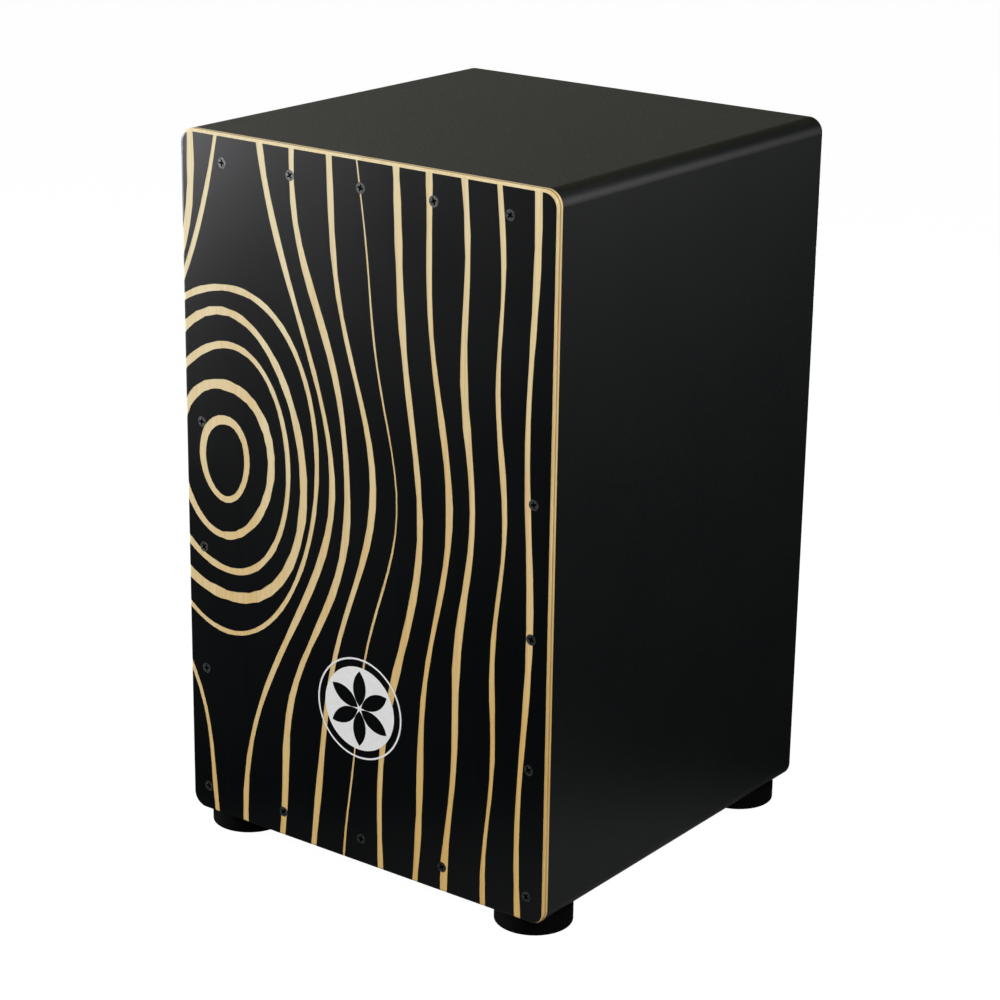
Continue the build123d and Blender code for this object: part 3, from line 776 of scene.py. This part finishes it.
def threaded_screw():
    """Socket-head tension screw with a real thread where the nut runs."""
    low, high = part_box("tension_screw")
    turn = np.arange(THREAD_SIDES) * 2 * math.pi / THREAD_SIDES
    level = np.ones(THREAD_SIDES)
    head_r = (high.x - low.x) / 2
    head_top = low.z + HEAD_TALL
    sector = math.pi / 3
    hexagon = HEX_ACROSS_FLATS / 2 / np.cos((turn + sector / 2) % sector - sector / 2)
    thread_z = high.z - THREAD_LENGTH
    root = ROD_R - THREAD_DEPTH
    rings = [
        (hexagon, low.z + HEX_DEPTH), (hexagon, low.z), ((head_r - HEAD_CHAMFER) * level, low.z),
        (head_r * level, low.z + HEAD_CHAMFER), (head_r * level, head_top),
        (ROD_R * level, head_top), (ROD_R * level, thread_z - THREAD_PITCH),
    ]
    for z in np.arange(thread_z, high.z - THREAD_TIP, THREAD_PITCH / THREAD_STEPS):
        phase = (z / THREAD_PITCH - turn / (2 * math.pi)) % 1
        rings.append((root + THREAD_DEPTH * (1 - abs(2 * phase - 1)), z))
    rings.append(((root - TIP_NARROWER) * level, high.z))
    piece = new_piece("tension_screw_threaded", *skin(rings, THREAD_SIDES, (low + high) / 2))
    piece.data.set_sharp_from_angle(angle=SHARP_ANGLE)
    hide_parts("tension_screw")
    return piece


# Pieces ----------------------------------------------------------------------------------------


def give(material, *objects):
    for item in objects:
        item.data.materials.clear()
        item.data.materials.append(material)


def rider(piece, body, material):
    give(material, piece)
    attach(piece, body)


def dress_cad_nodes(zinc):
    """Procedural materials for every CAD node, by the start of its name."""
    brass = metal("brass", (0.78, 0.56, 0.24), 0.32)
    black = black_steel()
    board = painted_board()
    pale, tan = (0.60, 0.42, 0.22), (0.42, 0.26, 0.12)
    timber = {axis: softwood(f"softwood_{axis.lower()}", tan, pale, axis) for axis in "XZ"}
    looks = {
        "seat_panel": board, "left_panel": board, "right_panel": board,
        "bottom_panel": board, "back_panel_screws": black, "back_panel": board,
        "front_plate_screws": black, "front_plate": plywood(),
        "front_batten_left": timber["Z"], "front_batten_right": timber["Z"],
        "rear_batten_left": timber["Z"], "rear_batten_right": timber["Z"],
        "front_batten": timber["X"], "rear_batten": timber["X"],
        "foot_screws": zinc, "foot_washers": zinc,
        "foot": moulded("rubber", (0.0010, 0.0013, 0.0012), 0.85, specular=0.07),
        "snare_bar": softwood("hardwood", (0.30, 0.16, 0.07), (0.46, 0.28, 0.14), "X"),
        "snare_strip_screws": zinc, "snare_strip": brass, "snare_wires": zinc,
        "pivot_block_screws": zinc,
        "pivot_block": moulded("black_nylon", (0.02, 0.02, 0.022), 0.45),
        "pivot_pin": zinc,
        "pivot_spacers": moulded("white_nylon", (0.70, 0.69, 0.64), 0.4),
        "crank_fork": zinc, "cross_nut": brass, "tension_screw": zinc, "ferrule": zinc,
        "thrust_washer": moulded("white_nylon_washer", (0.70, 0.69, 0.64), 0.4),
        "lock_collar": zinc, "collar_grub_screw": black,
    }
    for name, item in nodes.items():
        start = max((key for key in looks if name.startswith(key)), key=len)
        give(looks[start], item)


zinc_plate = metal("zinc_plate", (0.62, 0.63, 0.65), 0.30)
dress_cad_nodes(zinc_plate)
rider(front_print(), "box", satin_print())
rider(emblem(), "box", white_print())
coil_steel = metal("spring_steel", (0.66, 0.66, 0.67), 0.25)
for side in ("left", "right"):
    rider(snare_coils(side), "snare", coil_steel)
rider(threaded_screw(), "tension", zinc_plate)


# Stage -------------------------------------------------------------------------------------------

# Lit strip of the floor that only the object's reflections see: it runs between two distances
# from the origin along the direction STRIP_TURN from +X, and is twice STRIP_HALF wide.
STRIP_TURN = math.radians(53.4)
STRIP_FAR = -0.25
STRIP_NEAR = 0.18
STRIP_HALF = 0.60
STRIP_SOFT_NEAR = 0.06
STRIP_SOFT_BESIDE = 0.1
FLOOR_DARK = 0.015
FLOOR_LIT = 0.26
# What the camera itself sees of the floor: mostly its own even glow
FLOOR_SEEN = 0.05
FLOOR_GLOW = 0.985
FLOOR_REACH = 12.0
FLOOR_BELOW = 0.2 * MM
WORLD_UNSEEN = 0.02

CAMERA_AZIMUTH = 36.61
CAMERA_ELEVATION = 18.58
CAMERA_ROLL = 0.90
CAMERA_DISTANCE = 1.8387
CAMERA_LENS = 100.7
CAMERA_SENSOR = 36.0
AIM_BELOW_CENTRE = 0.0146
AIM_LEFT_OF_CENTRE = 0.0009


# Soft boxes: name, azimuth, elevation, distance, width, height and power
LIGHTS = [
    ("left_floor", -50, -2, 2.2, 0.6, 0.35, 2.1),
    ("left_low", -60, -1, 2.2, 0.6, 0.40, 23.9),
    ("left_mid", -70, 14, 1.7, 0.5, 0.5, 7.9),
    ("left_front", -48, 12, 1.6, 0.6, 0.6, 1.6),
    ("left_high", -95, 40, 1.6, 0.9, 0.9, 10.0),
    ("front_right", 25, 40, 1.5, 0.8, 0.8, 2.8),
    ("right_front", 55, 25, 1.6, 0.8, 0.8, 13.7),
    ("right_back_low", 124, -2, 1.7, 0.8, 0.3, 0.4),
    ("right_back", 130, 14, 1.7, 0.7, 0.7, 2.9),
    ("right_back_high", 115, 40, 1.6, 0.9, 0.9, 3.5),
    ("left_back", -145, 5, 1.7, 0.9, 0.9, 1.5),
    ("sound_hole", 180, 2, 0.9, 0.28, 0.24, 4.0),
]


def direction(azimuth, elevation):
    """Unit vector from the object towards a viewer at these angles, in degrees."""
    a, e = math.radians(azimuth), math.radians(elevation)
    return Vector((math.sin(a) * math.cos(e), -math.cos(a) * math.cos(e), math.sin(e)))


def camera():
    """Camera at the product view, with a small roll."""
    back = direction(CAMERA_AZIMUTH, CAMERA_ELEVATION)
    right = Vector((-back.y, back.x, 0)).normalized()
    up = back.cross(right)
    roll = math.radians(CAMERA_ROLL)
    tilted_right = math.cos(roll) * right + math.sin(roll) * up
    tilted_up = math.cos(roll) * up - math.sin(roll) * right
    data = bpy.data.cameras.new("camera")
    data.lens = CAMERA_LENS
    data.sensor_width = CAMERA_SENSOR
    item = bpy.data.objects.new("camera", data)
    bpy.context.scene.collection.objects.link(item)
    aim = CENTRE - AIM_BELOW_CENTRE * tilted_up - AIM_LEFT_OF_CENTRE * tilted_right
    turn = Matrix((tilted_right, tilted_up, back)).transposed().to_4x4()
    item.matrix_world = Matrix.Translation(aim + CAMERA_DISTANCE * back) @ turn
    bpy.context.scene.camera = item


def area_light(name, azimuth, elevation, distance, width, height, power):
    """Soft box that faces the object's middle."""
    data = bpy.data.lights.new(name, "AREA")
    data.shape = "RECTANGLE"
    data.size, data.size_y = width, height
    data.energy = power
    item = bpy.data.objects.new(name, data)
    bpy.context.scene.collection.objects.link(item)
    back = direction(azimuth, elevation)
    item.location = CENTRE + distance * back
    item.rotation_euler = back.to_track_quat("Z", "Y").to_euler()


def floor():
    """Plain pale floor: pale to the camera, and to everything else a dark studio floor with a
    lit strip in front of the object."""
    mesh = bpy.data.meshes.new("floor")
    corners = [(FLOOR_REACH * x, FLOOR_REACH * y, 0) for x, y in ((-1, -1), (1, -1), (1, 1), (-1, 1))]
    mesh.from_pydata(corners, [], [(0, 1, 2, 3)])
    item = bpy.data.objects.new("floor", mesh)
    bpy.context.scene.collection.objects.link(item)
    item.location.z = cad_box[0].z - FLOOR_BELOW
    g = Graph("floor", specular=0.0)
    seen = g.add("LightPath").outputs["Is Camera Ray"]
    turned = g.add("Mapping", {"Vector": g.place, "Rotation": (0, 0, -STRIP_TURN)})
    split = g.add("SeparateXYZ", {"Vector": turned.outputs["Vector"]}).outputs
    far = g.span(split["X"], STRIP_FAR, 0.0)
    low, high = STRIP_NEAR - STRIP_SOFT_NEAR, STRIP_NEAR + STRIP_SOFT_NEAR
    near = g.span(split["X"], low, high, 1.0, 0.0)
    low, high = STRIP_HALF - STRIP_SOFT_BESIDE, STRIP_HALF + STRIP_SOFT_BESIDE
    beside = g.span(g.math("ABSOLUTE", split["Y"]), low, high, 1.0, 0.0)
    lit = g.math("MULTIPLY", g.math("MULTIPLY", far, near), beside)
    unseen_shade = g.span(lit, 0.0, 1.0, FLOOR_DARK, FLOOR_LIT)
    shade = g.add("Mix", {0: seen, 2: unseen_shade, 3: FLOOR_SEEN}).outputs[0]
    color = g.add("CombineColor", {0: shade, 1: shade, 2: shade}).outputs[0]
    glow = {"Emission_Color": (FLOOR_GLOW,) * 3 + (1,), "Emission_Strength": seen}
    give(g.finish(color, 0.8, **glow), item)


def world():
    """White to the camera, a soft grey studio to the object."""
    data = bpy.data.worlds.new("studio")
    bpy.context.scene.world = data
    data.use_nodes = True
    tree = data.node_tree
    background = tree.nodes["Background"]
    path = tree.nodes.new("ShaderNodeLightPath")
    mix = tree.nodes.new("ShaderNodeMix")
    mix.data_type = "RGBA"
    mix.inputs[6].default_value = (WORLD_UNSEEN,) * 3 + (1,)
    mix.inputs[7].default_value = (1, 1, 1, 1)
    tree.links.new(path.outputs["Is Camera Ray"], mix.inputs[0])
    tree.links.new(mix.outputs[2], background.inputs["Color"])


camera()
floor()
world()
for light in LIGHTS:
    area_light(*light)
bpy.context.scene.view_settings.view_transform = "Standard"
